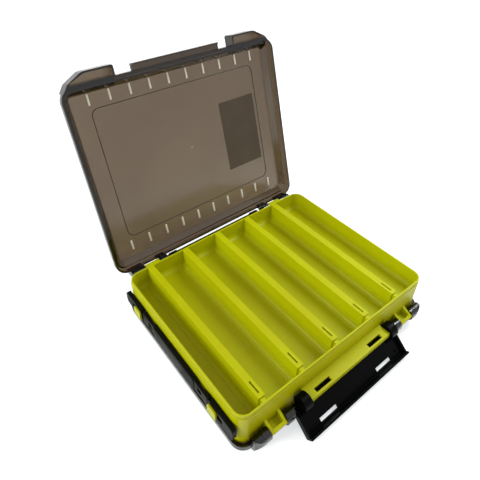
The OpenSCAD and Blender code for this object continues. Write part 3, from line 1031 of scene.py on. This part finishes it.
@dataclass
class Strap:
    """The flexible carry strap on the left side: a thick grip, two thin links and two end loops.

    Lengths are in millimetres. Places along the strap are counted outwards from the grip's middle.

    Attributes:
        soft: Radius of the grip's rounded edges.
        soft_steps: Faces across these.
        core: Half height of the band along a strip's middle where it has no window, as a share of the
            strip's own.
        grip_inset: How much shorter the grip's skin is than its node, at each end.
        grip_steps: Places along the grip.
        grip_round: Radius of the grip's corners.
        crown: How far the grip's outer face bulges at its middle.
        crown_power: How squarely that bulge ends towards the grip's ends.
        neck: Thickness of a link.
        waist: How much lower a link is than the strap at its middle.
        window: Half height of the window in a link.
        window_reach: Half length of that window.
        window_place: Where its middle lies, as a share of the link.
        start: How far inside the grip's end a link starts to show.
        bury: How far a link runs on inside the grip.
        tuck: How much lower it is in there, on each side.
        link_steps: Places along a link.
        link_soft: Radius of a link's rounded edges, as a share of the grip's.
        link_soft_steps: Faces across these.
        swell: Length over which a link thickens towards its round end.
        end_turns: Places round that end, in degrees.
        bend: Where a link would start and stop to turn against the grip, from the grip's end; not used.
    """

    soft: float = 0.9
    soft_steps: int = 4
    core: float = 0.4
    grip_inset: float = 0.4
    grip_steps: int = 28
    grip_round: float = 1.6
    crown: float = 0.45
    crown_power: int = 6
    neck: float = 2.5
    waist: float = 1.2
    window: float = 2.4
    window_reach: float = 2.9
    window_place: float = 0.42
    start: float = 1.2
    bury: float = 4.0
    tuck: float = 0.4
    link_steps: int = 22
    link_soft: float = 0.7
    link_soft_steps: int = 3
    swell: float = 3.0
    end_turns: Sequence[float] = (25, 45, 62, 78)
    bend: Span = (-2.2, 3.2)

    def strip(self, name: str, stations: Sequence[Point], thick: float) -> bpy.types.Object:
        """Builds a flat strip in the plane x = 0, with a window where its stations have one.

        Args:
            name: Its name.
            stations: For each place along y, that place, half the height, and half the window's height.
            thick: Thickness along x.

        Returns:
            The strip with square edges, in millimetres.
        """
        verts, faces = [], []
        for y, half, gap in stations:
            inner = gap if gap > 0.0 else half * self.core
            verts += [(0.0, y, -half), (0.0, y, -inner), (0.0, y, inner), (0.0, y, half)]
        for i in range(len(stations) - 1):
            a, b = 4 * i, 4 * (i + 1)
            windowed = stations[i][2] > 0.0 and stations[i + 1][2] > 0.0
            for band in (0, 2) if windowed else (0, 1, 2):
                faces.append((a + band, a + band + 1, b + band + 1, b + band))
        obj = piece(name, verts, faces)
        solid = obj.modifiers.new("solid", "SOLIDIFY")
        solid.thickness = thick
        solid.offset = 0.0
        return obj

    def grip(self, half_len: float, half_h: float, thick: float) -> bpy.types.Object:
        """Builds the grip with its round ends and crowned outer face.

        Args:
            half_len: Half its length.
            half_h: Half its height.
            thick: Its thickness.

        Returns:
            The grip about its own middle, in millimetres.
        """
        stations = []
        for k in range(self.grip_steps + 1):
            y = -half_len * math.cos(math.pi * k / self.grip_steps)
            near = min(1.0, (half_len - abs(y)) / self.grip_round)
            cut = self.grip_round * (1.0 - math.sqrt(1.0 - (1.0 - near) ** 2))
            stations.append((y, half_h - cut, 0.0))
        obj = self.strip("strap_grip_skin", stations, thick - 2 * self.crown)
        rounded(obj, self.soft, self.soft_steps)
        for vert in obj.data.vertices:
            level = 1.0 - (vert.co.z / half_h) ** 2
            along = 1.0 - (vert.co.y / half_len) ** self.crown_power
            vert.co.x += math.copysign(self.crown, vert.co.x) * max(level, 0.0) * max(along, 0.0)
        return obj

    def link(self, name: str, start: float, end: float, half_h: float, barrel: float) -> bpy.types.Object:
        """Builds the thin link between the grip and an end loop, towards +y.

        Args:
            name: Its name.
            start: Where the link leaves the grip.
            end: Middle of its outer round end.
            half_h: Half its height at the ends.
            barrel: Radius of its outer round end.

        Returns:
            The link, in millimetres.
        """
        span = end - start
        middle = start + span * self.window_place
        places = {start - self.bury, start - self.bury / 2, start, end}
        places |= {start + span * k / self.link_steps for k in range(1, self.link_steps)}
        places |= {middle - self.window_reach, middle + self.window_reach}
        places |= {end + barrel * math.sin(math.radians(turn)) for turn in self.end_turns}
        stations = []
        for y in sorted(places):
            share = min(max((y - start) / span, 0.0), 1.0)
            half = half_h - self.waist * math.sin(math.pi * share)
            far = abs(y - middle) / self.window_reach
            gap = self.window * math.sqrt(max(1.0 - far ** 4, 0.0)) if far < 1.0 - TINY else 0.0
            stations.append((y, half - (self.tuck if y < start else 0.0), gap))
        obj = self.strip(name, stations, self.neck)
        rounded(obj, self.soft * self.link_soft, self.link_soft_steps)
        for vert in obj.data.vertices:
            y = vert.co.y
            swell = min(max((y - (end - self.swell)) / self.swell, 0.0), 1.0)
            thick = self.neck + (2 * barrel - self.neck) * swell * swell * (3 - 2 * swell)
            if y > end:
                thick *= math.sqrt(max(1.0 - ((y - end) / barrel) ** 2, 0.0))
            vert.co.x *= thick / self.neck
        return obj

    def build(self, frame: dict, finishes: "Finishes") -> None:
        """Builds the flexible parts over the strap's nodes and dresses the end loops.

        Args:
            frame: The loaded frame.
            finishes: The finishes.
        """
        low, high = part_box("strap_grip")
        l_low, l_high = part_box("strap_link_rear")
        half_h = (high.z - low.z) / 2 / MM
        middle_z = (high.z + low.z) / 2
        barrel = (l_high.x - l_low.x) / 2 / MM
        pivot_x = (l_high.x + l_low.x) / 2
        inner, outer = high.y / MM, l_high.y / MM - barrel
        thick = (high.x - low.x) / MM
        grip = self.grip(inner - self.grip_inset, half_h, thick)
        grip.data.transform(Matrix.Translation(((low.x + high.x) / 2, 0.0, middle_z)) @ Matrix.Scale(MM, 4))
        paint(grip, finishes.strap)
        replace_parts(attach(grip, "strap_grip"), "strap_grip")
        log.info("%s: %d faces", grip.name, len(grip.data.polygons))
        for end, sign in (("front", -1.0), ("rear", 1.0)):
            link = self.link(f"strap_link_skin_{end}", inner - self.start, outer, half_h, barrel)
            mirror = Matrix.Diagonal((1.0, sign, 1.0, 1.0))
            link.data.transform(Matrix.Translation((pivot_x, 0.0, middle_z)) @ Matrix.Scale(MM, 4) @ mirror)
            if sign < 0.0:
                link.data.flip_normals()
            paint(link, finishes.strap)
            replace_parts(link, f"strap_link_{end}")
            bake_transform(link)
            paint(frame["nodes"][f"strap_loop_{end}"], finishes.strap)
            log.info("%s: %d faces", link.name, len(link.data.polygons))


@dataclass(frozen=True)
class Finishes:
    """All the finishes as materials.

    Attributes:
        yellow: The body's plastic.
        smoke: The lids' clear plastic.
        frosted: The ribs, in a pale colour that is a painted highlight.
        rubbed: The gate marks.
        line: The fine dark line round the raised fields, painted shade along their step.
        black: The latches' plastic.
        strap: The strap's plastic.
        film: The blank label.
    """

    yellow: bpy.types.Material
    smoke: bpy.types.Material
    frosted: bpy.types.Material
    rubbed: bpy.types.Material
    line: bpy.types.Material
    black: bpy.types.Material
    strap: bpy.types.Material
    film: bpy.types.Material

    @classmethod
    def build(cls, effects: Effects) -> "Finishes":
        """Builds every material once.

        Args:
            effects: The shared effects.

        Returns:
            The finishes.
        """
        return cls(
            yellow=YELLOW_PLASTIC.material(effects),
            smoke=SMOKE_PLASTIC.material(effects),
            frosted=PAINTED_RIB_HIGHLIGHT.material(effects),
            rubbed=RUBBED_SMOKE.material(effects),
            line=PAINTED_STEP_SHADE.material(effects),
            black=BLACK_PLASTIC.material(effects),
            strap=STRAP_PLASTIC.material(effects),
            film=LABEL_FILM.material(effects))


def main() -> None:
    """Loads the frame, builds and dresses each sub-assembly, and notes the sizes."""
    logging.basicConfig(level=logging.INFO, format="%(name)s: %(message)s")
    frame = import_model()
    Studio().build()

    finishes = Finishes.build(Effects())
    body_nodes = frame["record"]["behaviour"]["bodies"]["body"]
    TrayBody(body_nodes).dress(frame, finishes.yellow)
    Lid(Side.UPPER, "lid_label").build(frame, finishes)
    Lid(Side.LOWER).build(frame, finishes)
    Latch("front_latch").dress(frame, finishes.black)
    Latch("rear_latch").dress(frame, finishes.black)
    Strap().build(frame, finishes)


if __name__ == "__main__":
    main()
